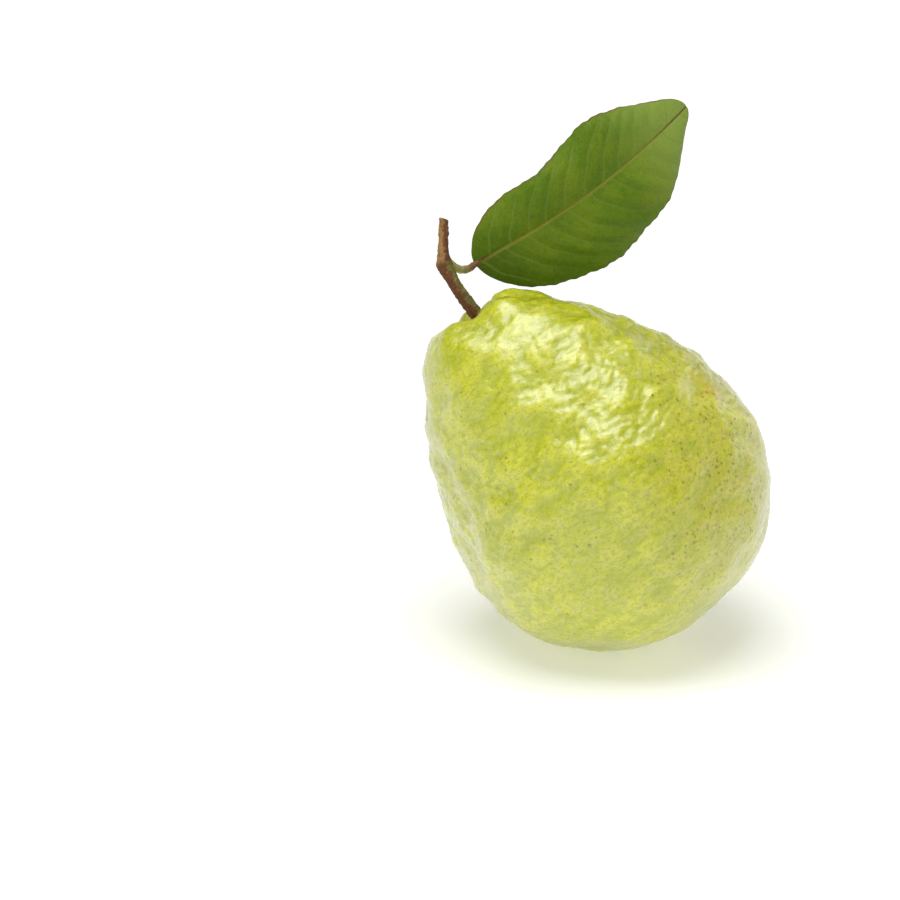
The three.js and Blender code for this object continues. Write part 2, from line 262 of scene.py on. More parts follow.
class GuavaStageSettings(bpy.types.PropertyGroup):
    """The floor, the lights and the camera"""

    lens: FloatProperty(name="Lens", description="Focal length in millimetres", default=100)
    camera_height: FloatProperty(
        name="Camera height", description="Above the floor", default=240.26 * MM, subtype="DISTANCE"
    )
    look_down: FloatProperty(
        name="Look down", description="Angle below level", default=math.radians(18), subtype="ANGLE"
    )
    floor_colour: colour("Floor", 0.9, 0.9, 0.89, "The plain pale floor")
    softbox_power: FloatProperty(
        name="Softbox", description="Power of the overhead light", default=3.45, subtype="POWER"
    )
    sky: FloatProperty(name="Sky", description="Strength of the even light from above", default=0.18)
    horizon: FloatProperty(
        name="Horizon", description="Strength of the light from low down", default=0.85
    )
    glow: FloatProperty(name="Floor glow", description="Light that the far floor gives off", default=0.8)


def through(values, place):
    """A smooth run through evenly spaced values, at places counted in steps from the first"""
    values = np.asarray(values, float)
    last = len(values) - 1
    start = np.minimum(np.floor(place).astype(int), last - 1)
    t = place - start
    if values.ndim == 2:
        t = t[:, None]
    a, b, c, d = (values[np.clip(start + k, 0, last)] for k in (-1, 0, 1, 2))
    return b + 0.5 * t * (c - a + t * (2 * a - 5 * b + 4 * c - d + t * (3 * (b - c) + d - a)))


def bell(offset, spread):
    """1 at zero, falling away over about one spread"""
    return np.exp(-((offset / spread) ** 2))


def rise(value, start, end):
    """A smooth step from 0 at start to 1 at end"""
    t = np.clip((value - start) / (end - start), 0, 1)
    return t * t * (3 - 2 * t)


def ripples(points, wavelength, seed, waves=20, squeeze=(1, 1, 1)):
    """Waves of one length from many sides at once, which add up to rounded, uneven bumps of about 1"""
    total = np.zeros(len(points))
    squeezed = points * np.asarray(squeeze, float)
    for i in range(waves):
        height = 1 - (2 * i + 1) / waves
        reach = math.sqrt(1 - height * height)
        turn = GOLDEN_ANGLE * (i + seed)
        way = (reach * math.cos(turn), reach * math.sin(turn), height)
        total += np.cos(2 * math.pi * (squeezed @ way) / wavelength + seed * (i + 1) * (i + 2))
    return total / math.sqrt(waves / 2)


def finished_mesh(bm, name):
    """Takes a bmesh over into a smooth-shaded mesh"""
    mesh = bpy.data.meshes.new(name)
    bm.to_mesh(mesh)
    bm.free()
    mesh.shade_smooth()
    return mesh


def points_of(mesh):
    """The mesh's points as rows of x, y and z"""
    points = np.empty(len(mesh.vertices) * 3, np.float32)
    mesh.vertices.foreach_get("co", points)
    return points.reshape(-1, 3).astype(float)


def placed_by(matrix, points):
    """The points after the matrix's turn and shift"""
    matrix = np.array(matrix)
    return points @ matrix[:3, :3].T + matrix[:3, 3]


def move_points(mesh, points):
    """Sets the mesh's points, given in millimetres"""
    mesh.vertices.foreach_set("co", (points * MM).astype(np.float32).ravel())
    mesh.update()


def keep_values(mesh, name, values):
    """Stores one value for each point, which the material reads"""
    layer = mesh.attributes.new(name, "FLOAT", "POINT")
    layer.data.foreach_set("value", np.asarray(values, np.float32))


def add_piece(name, mesh, material, node):
    """Links a finished mesh, which rides on the one body and stands for one of its solids"""
    made = bpy.data.objects.new(name, mesh)
    bpy.context.scene.collection.objects.link(made)
    mesh.materials.append(material)
    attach(made, "root")
    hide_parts(node)
    return made


def add_node(tree, kind, inputs=None, **settings):
    """Adds a shader node. An input that is a socket is linked, and any other is set."""
    made = tree.nodes.new(kind)
    for name, value in settings.items():
        setattr(made, name, value)
    for name, value in (inputs or {}).items():
        if isinstance(value, bpy.types.NodeSocket):
            tree.links.new(value, made.inputs[name])
        else:
            made.inputs[name].default_value = value
    return made


def value_of(tree, name):
    """A value that keep_values stored on the mesh"""
    return add_node(tree, "ShaderNodeAttribute", attribute_name=name).outputs["Fac"]


def place_of(tree):
    """The place on the object, in metres"""
    return add_node(tree, "ShaderNodeTexCoord").outputs["Object"]


def noise_of(tree, size, detail=3, roughness=0.55, stretch=(1, 1, 1), turn=(0, 0, 0)):
    """Noise whose lumps are about size across, in metres, and stretch times that along the turned axes"""
    place = add_node(
        tree, "ShaderNodeMapping", {"Vector": place_of(tree), "Rotation": turn, "Scale": stretch},
        vector_type="TEXTURE",
    ).outputs[0]
    made = add_node(
        tree, "ShaderNodeTexNoise",
        {"Vector": place, "Scale": 1 / size, "Detail": detail, "Roughness": roughness},
    )
    return made.outputs["Fac"]


def ramp(tree, value, start, end, low=0, high=1):
    """Goes smoothly from low to high as the value goes from start to end"""
    made = add_node(
        tree, "ShaderNodeMapRange",
        {"Value": value, "From Min": start, "From Max": end, "To Min": low, "To Max": high},
        interpolation_type="SMOOTHSTEP",
    )
    return made.outputs["Result"]


def joined(tree, operation, first, second):
    """The result of one sum, product or comparison of two values"""
    made = add_node(tree, "ShaderNodeMath", operation=operation)
    for socket, value in zip(made.inputs, (first, second)):
        if isinstance(value, bpy.types.NodeSocket):
            tree.links.new(value, socket)
        else:
            socket.default_value = value
    return made.outputs[0]


def tinted(tree, share, first, second):
    """Goes from the first colour to the second as share goes from 0 to 1"""
    made = add_node(tree, "ShaderNodeMix", data_type="RGBA")
    for socket, value in zip((made.inputs[0], made.inputs[6], made.inputs[7]), (share, first, second)):
        if isinstance(value, bpy.types.NodeSocket):
            tree.links.new(value, socket)
        elif socket.type == "RGBA":
            socket.default_value = (*value, 1)
        else:
            socket.default_value = value
    return made.outputs[2]


def new_material(name, **shader):
    """A material with its principled shader's own values set, and its tree and shader"""
    material = bpy.data.materials.new(name)
    material.use_nodes = True
    tree = material.node_tree
    principled = tree.nodes["Principled BSDF"]
    for socket, value in shader.items():
        principled.inputs[socket.replace("_", " ").title()].default_value = value
    return material, tree, principled


def bumped(tree, principled, height, depth):
    """Bump from a height of 0 to 1, depth metres deep"""
    bump = add_node(tree, "ShaderNodeBump", {"Height": height, "Distance": depth, "Strength": 1})
    for socket in ("Normal", "Coat Normal"):
        tree.links.new(bump.outputs["Normal"], principled.inputs[socket])


def fruit_place():
    """From the fruit's own frame, whose +Z points out of the stem's end, to its place as it lies"""
    turn = Euler((0, -math.radians(FRUIT_LEAN_DEG), math.radians(FRUIT_TURN_DEG)), "XYZ")
    return Matrix.Translation(FRUIT_MIDDLE) @ turn.to_matrix().to_4x4()


def skin_points(ways, half_width, wrinkle_height, wrinkle_length):
    """Where the skin is in each direction from the fruit's middle, and the height of its fine relief"""
    angle = np.degrees(np.arccos(np.clip(ways[:, 2], -1, 1)))
    around = np.arctan2(ways[:, 1], ways[:, 0])
    lobe = LOBES["share"] * np.cos(LOBES["count"] * (around - math.radians(LOBES["first"])))
    tall = TALL_SIDE["share"] * np.cos(around - math.radians(TALL_SIDE["towards"]))
    aside = (around - math.radians(FULL_SIDE["towards"]) + math.pi) % (2 * math.pi) - math.pi
    near = bell(np.degrees(aside), FULL_SIDE["spread"])
    shoulder = tall + lobe * (1 - near) + FULL_SIDE["share"] * near
    lobed = 1 + shoulder * bell(angle - LOBES["angle"], LOBES["spread"])
    points = ways * (half_width * through(SKIN_REACH, angle / REACH_STEP_DEG) * lobed)[:, None]
    from_axis = np.hypot(points[:, 0], points[:, 1])
    stemward = ways[:, 2] > 0
    width = np.where(stemward, STEM_HOLLOW["width"], BLOSSOM_HOLLOW["width"])
    depth = np.where(stemward, STEM_HOLLOW["depth"], BLOSSOM_HOLLOW["depth"])
    placed = placed_by(fruit_place(), points)
    off_spot = rise(np.hypot(placed[:, 0], placed[:, 1]), *CALM_SPOT)
    on_top = rise(placed[:, 2], FRUIT_MIDDLE.z / 2, FRUIT_MIDDLE.z)
    off_ends = rise(from_axis / width, *CALM_END)
    calm = np.maximum(off_spot, on_top) * off_ends
    smoother = 1 - SMOOTH_END["share"] * rise(-ways[:, 2], *SMOOTH_END["from"])
    broad = sum(
        height * ripples(points, wavelength, seed, waves, (1, 1, squeeze)) * (smoother if i else 1)
        for i, (height, wavelength, squeeze, seed, waves) in enumerate(RELIEF_LAYERS)
    )
    wrinkles = np.tanh(1.3 * ripples(points, wrinkle_length, **WRINKLES))
    creases = ripples(points, CREASE_LENGTH * wrinkle_length, **CREASES)
    fine = wrinkle_height * (wrinkles + CREASE_HEIGHT * creases) * smoother
    hollow = depth * bell(from_axis, width)
    hollow += CALYX_SEAT["depth"] * rise(from_axis, *CALYX_SEAT["edge"]) * ~stemward
    points += ways * ((broad + fine) * calm - hollow)[:, None]
    _, wavelength, squeeze, seed, waves = RELIEF_LAYERS[-1]
    medium = ripples(points, wavelength, seed, waves, (1, 1, squeeze))
    return points, 0.55 * wrinkles + 0.45 * medium


def skin_material(look):
    """Glossy yellow-green skin: greener in the dimples, paler to the blossom end, specked and blushed"""
    material, tree, principled = new_material(
        "guava_skin", subsurface_weight=0.08, subsurface_scale=0.002,
        coat_weight=1.0, coat_roughness=0.18,
    )
    principled.inputs["Subsurface Radius"].default_value = (1, 1, 0.25)
    principled.inputs["Coat IOR"].default_value = 1.57
    turned = (0, -math.radians(FRUIT_LEAN_DEG), math.radians(FRUIT_TURN_DEG))
    height = value_of(tree, "height")
    # worn holds the specked side, which also carries a painted sheen at the right rim
    worn = value_of(tree, "specked_sheen_side")
    patches = noise_of(tree, PATCHES * MM, 4)
    flecks = noise_of(tree, FLECKS * MM, 5, 0.62, GRAIN_STRETCH, turned)
    grain = noise_of(tree, GRAIN * MM, 5, 0.7, GRAIN_STRETCH, turned)
    pores = noise_of(tree, PORES * MM, 2)
    skin = tinted(tree, ramp(tree, height, -1.2, 0.9), look.green, look.ripe)
    skin = tinted(tree, ramp(tree, patches, 0.56, 0.36, 0, 0.5), skin, look.green)
    skin = tinted(tree, ramp(tree, flecks, 0.5, 0.3, 0, 0.55), skin, look.green)
    low_down = ramp(tree, value_of(tree, "blossom"), 0.1, 0.8, 0.55, 1)
    pale = joined(tree, "MULTIPLY", low_down, ramp(tree, flecks, 0.46, 0.68))
    skin = tinted(tree, pale, skin, look.dull)
    # painted sheen: the specked right side tinted paler, most strongly at the right rim
    skin = tinted(tree, joined(tree, "MULTIPLY", worn, 0.4), skin, look.dull)
    skin = tinted(tree, ramp(tree, grain, 0.52, 0.38, 0, 0.5), skin, look.deep)
    skin = tinted(tree, ramp(tree, pores, 0.48, 0.3, 0, 0.5), skin, look.deep)
    warm = joined(tree, "MULTIPLY", value_of(tree, "blush"), ramp(tree, flecks, 0.4, 0.6))
    skin = tinted(tree, warm, skin, look.blush)
    skin = tinted(tree, specks(tree, worn), skin, look.speck)
    skin = tinted(tree, joined(tree, "MULTIPLY", value_of(tree, "stem"), 0.75), skin, look.green)
    tree.links.new(skin, principled.inputs["Base Color"])
    tree.links.new(ramp(tree, grain, 0.3, 0.7, 0.27, 0.42), principled.inputs["Roughness"])
    relief = joined(tree, "MULTIPLY", grain, 1.4)
    for part, strength in ((flecks, 1.3), (pores, 0.6)):
        relief = joined(tree, "ADD", relief, joined(tree, "MULTIPLY", part, strength))
    bumped(tree, principled, relief, SKIN_BUMP * MM)
    return material


def specks(tree, worn):
    """Small uneven dots, few on most of the skin and crowded on its worn side"""
    shift = add_node(
        tree, "ShaderNodeTexNoise", {"Vector": place_of(tree), "Scale": 1 / (SPECK_BEND["size"] * MM)}
    ).outputs["Color"]
    bent = add_node(
        tree, "ShaderNodeVectorMath", {0: shift, 1: (SPECK_BEND["reach"] * MM,) * 3, 2: place_of(tree)},
        operation="MULTIPLY_ADD",
    ).outputs["Vector"]
    dots = add_node(
        tree, "ShaderNodeTexVoronoi", {"Vector": bent, "Scale": 1 / (SPECKS * MM), "Randomness": 1}
    )
    chance = add_node(tree, "ShaderNodeSeparateColor", {"Color": dots.outputs["Color"]}).outputs["Red"]
    kept = joined(tree, "LESS_THAN", chance, ramp(tree, worn, 0, 1, 0.07, 0.95))
    speck = joined(tree, "MULTIPLY", ramp(tree, dots.outputs["Distance"], 0.38, 0.1), kept)
    crowds = ramp(tree, noise_of(tree, SPECK_CROWDS * MM), 0.34, 0.58, 0, 0.8)
    return joined(tree, "MULTIPLY", speck, crowds)


class GUAVA_OT_skin(bpy.types.Operator):
    """Builds the fruit's skin with its lobes, hollows and wrinkles"""

    bl_idname = "guava.skin"
    bl_label = "Fruit skin"

    def execute(self, context):
        look = context.scene.guava_skin
        bm = bmesh.new()
        bmesh.ops.create_cube(bm, size=2)
        bmesh.ops.subdivide_edges(bm, edges=bm.edges, cuts=look.cells - 1, use_grid_fill=True)
        mesh = finished_mesh(bm, "fruit_skin")
        ways = np.tan(points_of(mesh) * math.pi / 4)
        ways /= np.linalg.norm(ways, axis=1)[:, None]
        points, height = skin_points(
            ways, look.width / MM / 2, look.wrinkle_height / MM, look.wrinkle_length / MM
        )
        placed = placed_by(fruit_place(), points)
        placed[:, 2] = np.maximum(placed[:, 2], 0)
        move_points(mesh, placed)
        keep_values(mesh, "height", height)
        keep_values(mesh, "blossom", (1 - ways[:, 2]) / 2)
        keep_values(mesh, "stem", bell(np.hypot(points[:, 0], points[:, 1]), 4.5) * (ways[:, 2] > 0))
        turned = ways @ np.array(fruit_place())[:3, :3].T
        # the specked side, which the skin also paints paler there as a sheen at the right rim
        worn = rise(turned @ SPECKED_SHEEN_SIDE["towards"], *SPECKED_SHEEN_SIDE["from"])
        warm_side = np.array(BLUSH["towards"])
        warm_side /= np.linalg.norm(warm_side)
        blush = BLUSH["share"] * rise(turned @ warm_side, *BLUSH["from"])
        keep_values(mesh, "blush", np.maximum(blush, SPECKED_SHEEN_SIDE["blush"] * worn))
        keep_values(mesh, "specked_sheen_side", worn)
        add_piece("guava_skin", mesh, skin_material(look), "fruit")
        return {"FINISHED"}


def rod_mesh(name, line, sides, rings, relief, insets=4):
    """A bar along a line of points with radii. relief gives the height in millimetres for shares along
    it, angles round it and places, and the bar's own frame is returned with it."""
    bm = bmesh.new()
    bmesh.ops.create_cone(bm, cap_ends=True, segments=sides, radius1=1, radius2=1, depth=1)
    long_edges = [edge for edge in bm.edges if abs(edge.verts[0].co.z - edge.verts[1].co.z) > 0.5]
    caps = [face for face in bm.faces if len(face.verts) == sides]
    for step in range(insets):
        bmesh.ops.inset_region(bm, faces=caps, thickness=1 / (insets + 1), use_even_offset=False)
    bmesh.ops.subdivide_edges(bm, edges=long_edges, cuts=rings - 1)
    mesh = finished_mesh(bm, name)
    flat = points_of(mesh)
    share = flat[:, 2] + 0.5
    middles, normals, sideways = rod_frames(line, share)
    radius = through([point[3] for point in line], share * (len(line) - 1))
    around = np.arctan2(flat[:, 1], flat[:, 0])
    out = normals * np.cos(around)[:, None] + sideways * np.sin(around)[:, None]
    reach = np.hypot(flat[:, 0], flat[:, 1])
    on_wall = reach > 0.99
    skin = middles + out * (radius * reach)[:, None]
    lifted = relief(share, around, skin) * on_wall
    return mesh, skin + out * lifted[:, None], share, out, reach, lifted


def rod_frames(line, share, samples=600):
    """The middle, and two directions square to the line, at each share of its length"""
    steps = np.linspace(0, 1, samples)
    path = through([point[:3] for point in line], steps * (len(line) - 1))
    tangents = np.gradient(path, axis=0)
    tangents /= np.linalg.norm(tangents, axis=1)[:, None]
    normals = np.empty_like(path)
    normal = np.array((-1.0, 0, 0))
    for i, tangent in enumerate(tangents):
        normal = normal - tangent * (normal @ tangent)
        normal /= np.linalg.norm(normal)
        normals[i] = normal
    sideways = np.cross(tangents, normals)
    return tuple(
        np.stack([np.interp(share, steps, part[:, k]) for k in range(3)], 1)
        for part in (path, normals, sideways)
    )


def twig_relief(look):
    """Bark: ridges along the twig, cracks, pores, a swollen node and the scars of old leaves"""
    rng = np.random.default_rng(7)
    pores = rng.uniform((0.2, -math.pi), (1, math.pi), (TWIG_PORES, 2))

    def relief(share, around, places):
        height = 0.5 * np.sin(5 * around + 3 * np.sin(9 * share)) * (0.4 + 0.6 * rise(share, 0.55, 0.75))
        height += 0.9 * np.tanh(ripples(places, **BARK_GRAIN))
        height += 0.5 * ripples(places, **BARK_FINE)
        for along, turn in pores:
            apart = (around - turn + math.pi) % (2 * math.pi) - math.pi
            height += 2.0 * bell(apart, 0.16) * bell(share - along, 0.009)
        height = height * look.bark_height / MM
        for swell, along, spread in TWIG_SWELLS:
            height += swell * bell(share - along, spread)
        for x, y, z, radius in TWIG_SCARS:
            apart = np.linalg.norm(places - (x, y, z), axis=1)
            height += 0.6 * radius * bell(apart, radius) - 0.35 * radius * bell(apart, 0.35 * radius)
        return height

    return relief


def bark_material(look):
    """Bark: tan on the left and plum on the right above the node, which also paints light on the left
    side and shade on the right, plum and olive below it, and the pale wood of the cut end
    """
    material, tree, principled = new_material("guava_bark", roughness=0.62)
    principled.inputs["Specular IOR Level"].default_value = 0.2
    upper = value_of(tree, "upper")
    right = value_of(tree, "right")
    streaks = noise_of(tree, 1.1 * MM, 5, 0.65, (1, 1, 2.5))
    blots = noise_of(tree, 1.3 * MM, 4, 0.6)
    uneven = joined(tree, "MULTIPLY", joined(tree, "SUBTRACT", blots, 0.5), 2.4)
    edge = joined(tree, "ADD", right, uneven)
    # painted light and shade: the upper twig is tan on its lit left side and plum on its shaded right
    # side; plum and olive are the lower twig's own colours
    top = tinted(tree, ramp(tree, edge, -0.15, 0.35), look.tan, look.plum)
    bottom = tinted(tree, ramp(tree, edge, -0.1, 0.3), look.plum, look.olive)
    bark = tinted(tree, upper, bottom, top)
    bark = tinted(tree, ramp(tree, streaks, 0.54, 0.68, 0, 0.7), bark, look.tan)
    bark = tinted(tree, ramp(tree, streaks, 0.46, 0.32, 0, 0.6), bark, look.groove)
    bark = tinted(tree, ramp(tree, value_of(tree, "height"), 0, -0.12, 0, 0.7), bark, look.plum)
    cut = value_of(tree, "cut")
    reach = value_of(tree, "reach")
    rings = add_node(
        tree, "ShaderNodeMath", {0: joined(tree, "MULTIPLY", reach, 40)}, operation="SINE"
    ).outputs[0]
    wood = tinted(tree, ramp(tree, rings, -1, 1, 0, 0.25), look.wood, look.tan)
    wood = tinted(tree, ramp(tree, reach, 0.3, 0.1, 0, 0.7), wood, look.plum)
    tree.links.new(tinted(tree, cut, bark, wood), principled.inputs["Base Color"])
    bumped(tree, principled, streaks, 0.08 * MM)
    return material


class GUAVA_OT_twig(bpy.types.Operator):
    """Builds the twig with its bark, its node and its cut end"""

    bl_idname = "guava.twig"
    bl_label = "Twig"

    def execute(self, context):
        look = context.scene.guava_twig
        mesh, points, share, out, reach, lifted = rod_mesh(
            "twig", TWIG_LINE, look.sides, look.rings, twig_relief(look)
        )
        points[:, 2] += rise(share, 0.94, 1) * (points[:, 0] - TWIG_LINE[-1][0]) * TWIG_CUT_SLANT
        cut = (share > 0.999) & (reach < 0.99)
        points[:, 2] -= 0.12 * cut * bell(reach, 0.25)
        move_points(mesh, points)
        keep_values(mesh, "upper", rise(share, TWIG_NODE - 0.03, TWIG_NODE + 0.05))
        # right also sets the painted shade on the upper twig's right side
        keep_values(mesh, "right", out[:, 0])
        keep_values(mesh, "height", lifted)
        keep_values(mesh, "cut", cut)
        keep_values(mesh, "reach", reach)
        add_piece("twig_bark", mesh, bark_material(look), "twig")
        return {"FINISHED"}


def leaf_place():
    """From the leaf's own frame, whose +X runs from base to tip, to its place on the twig"""
    turn = Euler(
        (math.radians(LEAF_ROLL_DEG), -math.radians(LEAF_RISE_DEG), math.radians(LEAF_HEADING_DEG)), "XYZ"
    )
    return Matrix.Translation(LEAF_BASE) @ turn.to_matrix().to_4x4()


def vein_lines(x, aside, share_out, veins):
    """How near each point is to a side vein, to a finer one between two, and its place between two"""
    count = (x - veins["lean"] * aside - veins["bend"] * aside**2) / veins["spacing"] + veins["start"]
    count += 0.1 * np.sin(1.3 * count + 2) + 0.03 * np.sin(0.9 * aside + 3 * np.round(count))
    apart = (count - np.round(count)) * veins["spacing"] * VEIN_PACKING
    half = (count + 0.5 - np.round(count + 0.5)) * veins["spacing"] * VEIN_PACKING
    main = bell(apart, VEIN_WIDTH) * rise(share_out, 1.0, 0.75)
    finer = bell(half, VEIN_WIDTH) * rise(share_out, 0.75, 0.3) * 0.35
    quilt = 0.5 - 0.5 * np.cos(2 * math.pi * count)
    return main, finer, quilt


def leaf_points(along, across, below, look):
    """The blade's points, and how near each is to a vein, to the midrib and to the margin"""
    out = np.abs(across)
    left = across > 0
    station = np.arccos(np.clip(1 - 2 * along, -1, 1)) / math.pi * (len(LEAF_LEFT) - 1)
    half = np.where(left, through(LEAF_LEFT, station), through(LEAF_RIGHT, station))
    half = half * (1 + 0.008 * np.sin(70 * along + 4 * left) + 0.006 * np.sin(163 * along + left))
    taper = np.sin(math.pi * along)
    arch = LEAF_ARCH * taper - LEAF_TIP_CURL * along**3
    cup = LEAF_CUP["height"] * np.sin(2 * math.pi * LEAF_CUP["turns"] * out) * taper
    droop = LEAF_DROOP * out**3 * taper
    swing = np.sin(2 * math.pi * LEAF_WAVE["count"] * along + LEAF_WAVE["phase"] * across)
    wave = LEAF_WAVE["height"] * swing * out * out * taper
    x = LEAF_LENGTH * along
    aside = out * half
    rib_size = LEAF_RIB["height"] + (LEAF_RIB["tip"] - LEAF_RIB["height"]) * along
    rib = bell(aside, 0.34 * (1.25 - 0.6 * along))
    sides = [vein_lines(x, aside, out, veins) for veins in (VEINS_LEFT, VEINS_RIGHT)]
    main, finer, quilt = (np.where(left, one, other) for one, other in zip(*sides))
    vein = np.maximum(main, finer)
    depth = look.vein_depth / MM
    calm = rise(out, 0.02, 0.2) * rise(out, 1.0, 0.85) * taper
    swell = 0.4 * quilt * calm
    upper = swell - depth * (vein * calm + 1.6 * rib)
    keel = 0.7 * rib_size * bell(aside, LEAF_RIB["spread"])
    lower = swell + depth * vein * calm - look.thickness / MM - keel
    face = np.where(below, lower, upper)
    points = np.stack([x, across * half - LEAF_BOW * taper, arch + cup - droop + wave + face], 1)
    margin = bell((1 - out) * half, 0.25) * (out > 0.5)
    return points, vein, rib, margin


def leaf_material(look):
    """The blade: mottled greens, a fine net, paler veins, a midrib brown at its ends and a thin margin,
    with a painted reflection that pales it towards the tip
    """
    material, tree, principled = new_material(
        "guava_leaf", subsurface_weight=0.06, subsurface_scale=0.0006
    )
    principled.inputs["Subsurface Radius"].default_value = (0.6, 1, 0.2)
    principled.inputs["Specular IOR Level"].default_value = 0.18
    patches = noise_of(tree, LEAF_PATCHES * MM, 4)
    mottle = noise_of(tree, LEAF_MOTTLE * MM, 5, 0.75)
    fine = noise_of(tree, LEAF_FINE * MM, 2)
    blade = tinted(tree, ramp(tree, patches, 0.42, 0.62, 0, 0.8), look.blade, look.patch)
    blade = tinted(tree, ramp(tree, mottle, 0.48, 0.66, 0, 0.55), blade, look.patch)
    blade = tinted(tree, ramp(tree, mottle, 0.48, 0.32, 0, 0.45), blade, look.dark)
    blade = tinted(tree, ramp(tree, fine, 0.5, 0.3, 0, 0.6), blade, look.dark)
    blade = tinted(tree, value_of(tree, "dark"), blade, look.dark)
    # painted reflection: the blade paler towards the tip
    blade = tinted(tree, value_of(tree, "pale"), blade, look.pale)
    cells = add_node(
        tree, "ShaderNodeTexVoronoi", {"Vector": place_of(tree), "Scale": 1 / (LEAF_NET * MM)},
        feature="DISTANCE_TO_EDGE",
    ).outputs["Distance"]
    net = ramp(tree, cells, 0.09, 0.0)
    blade = tinted(tree, joined(tree, "MULTIPLY", net, 0.16), blade, look.vein)
    blade = tinted(tree, value_of(tree, "below"), blade, look.under)
    blade = tinted(tree, joined(tree, "MULTIPLY", value_of(tree, "vein"), 0.6), blade, look.vein)
    brown_end = tinted(tree, value_of(tree, "brown"), look.rib, look.margin)
    blade = tinted(tree, value_of(tree, "rib"), blade, brown_end)
    edge = joined(tree, "MULTIPLY", value_of(tree, "margin"), ramp(tree, patches, 0.35, 0.6, 0, 0.9))
    blade = tinted(tree, edge, blade, look.margin)
    tree.links.new(blade, principled.inputs["Base Color"])
    tree.links.new(ramp(tree, mottle, 0.3, 0.7, 0.5, 0.65), principled.inputs["Roughness"])
    relief = joined(tree, "SUBTRACT", mottle, joined(tree, "MULTIPLY", net, 0.5))
    bumped(tree, principled, relief, 0.06 * MM)
    return material


def stalk_material(look):
    """The leaf stalk: pale, russet towards the blade, with a dark groove along it"""
    material, tree, principled = new_material("guava_stalk", roughness=0.5)
    streaks = noise_of(tree, 1.2 * MM, 4, 0.6)
    stalk = tinted(tree, ramp(tree, streaks, 0.4, 0.7, 0, 0.5), look.stalk, look.patch)
    stalk = tinted(tree, value_of(tree, "russet"), stalk, look.russet)
    groove = joined(tree, "MULTIPLY", value_of(tree, "groove"), ramp(tree, streaks, 0.25, 0.5, 0.6, 1))
    stalk = tinted(tree, groove, stalk, look.groove)
    tree.links.new(stalk, principled.inputs["Base Color"])
    bumped(tree, principled, streaks, 0.05 * MM)
    return material


class GUAVA_OT_leaf(bpy.types.Operator):
    """Builds the leaf's blade with its veins, and its grooved stalk"""

    bl_idname = "guava.leaf"
    bl_label = "Leaf"

    def execute(self, context):
        look = context.scene.guava_leaf
        bm = bmesh.new()
        bmesh.ops.create_grid(bm, x_segments=look.columns, y_segments=look.rows, size=1)
        bmesh.ops.solidify(bm, geom=bm.faces[:], thickness=0.5)
        bmesh.ops.recalc_face_normals(bm, faces=bm.faces)
        mesh = finished_mesh(bm, "leaf_blade")
        flat = points_of(mesh)
        below = flat[:, 2] < (flat[:, 2].min() + flat[:, 2].max()) / 2
        along = (1 - np.cos(math.pi * (flat[:, 0] + 1) / 2)) / 2
        across = np.sign(flat[:, 1]) * np.abs(flat[:, 1]) ** 1.15
        points, vein, rib, margin = leaf_points(along, across, below, look)
        move_points(mesh, placed_by(leaf_place(), points))
        keep_values(mesh, "vein", vein)
        keep_values(mesh, "rib", rib)
        keep_values(mesh, "margin", margin)
        keep_values(mesh, "below", below * 0.85)
        keep_values(mesh, "brown", np.maximum(rise(along, 0.1, 0.0), rise(along, 0.72, 1)))
        keep_values(mesh, "dark", 0.8 * bell(along, 0.16) * (across < 0.1))
        # painted reflection, rising towards the tip
        keep_values(mesh, "pale", 0.65 * rise(along, 0.6, 0.95))
        add_piece("leaf_blade", mesh, leaf_material(look), "leaf")
        self.add_stalk(look)
        return {"FINISHED"}

    def add_stalk(self, look):
        """The leaf stalk with the groove along its upper side"""
        upside = math.radians(STALK_GROOVE["at_deg"])

        def relief(share, around, places):
            apart = (around - upside + math.pi) % (2 * math.pi) - math.pi
            deep = STALK_GROOVE["depth"] * bell(apart, STALK_GROOVE["spread"]) * rise(share, 0.05, 0.3)
            return 0.04 * ripples(places, **STALK_RELIEF) - deep

        mesh, points, share, out, reach, lifted = rod_mesh("leaf_stalk", STALK_LINE, 48, 120, relief)
        move_points(mesh, points)
        keep_values(mesh, "groove", rise(-lifted, 0.08, 0.3))
        keep_values(mesh, "russet", rise(share, 0.45, 0.75))
        add_piece("leaf_stalk", mesh, stalk_material(look), "leaf")


def calyx_place():
    """From a frame whose +Z points out of the blossom end, at the bottom of its hollow, to its place"""
    bottom = HALF_WIDTH * SKIN_REACH[-1] - BLOSSOM_HOLLOW["depth"]
    return fruit_place() @ Matrix.Translation((0, 0, -bottom)) @ Matrix.Rotation(math.pi, 4, "X")


def calyx_material(look):
    """Dry brown fibres with paler worn edges"""
    material, tree, principled = new_material("guava_calyx", roughness=0.8)
    fibres = noise_of(tree, 0.7 * MM, 5, 0.7)
    blots = noise_of(tree, 2 * MM, 3)
    dry = tinted(tree, ramp(tree, blots, 0.35, 0.65), tuple(0.5 * part for part in look.dry), look.dry)
    dry = tinted(tree, ramp(tree, fibres, 0.52, 0.75, 0, 0.7), dry, look.pale)
    dry = tinted(tree, value_of(tree, "worn"), dry, look.pale)
    tree.links.new(dry, principled.inputs["Base Color"])
    bumped(tree, principled, fibres, 0.12 * MM)
    return material


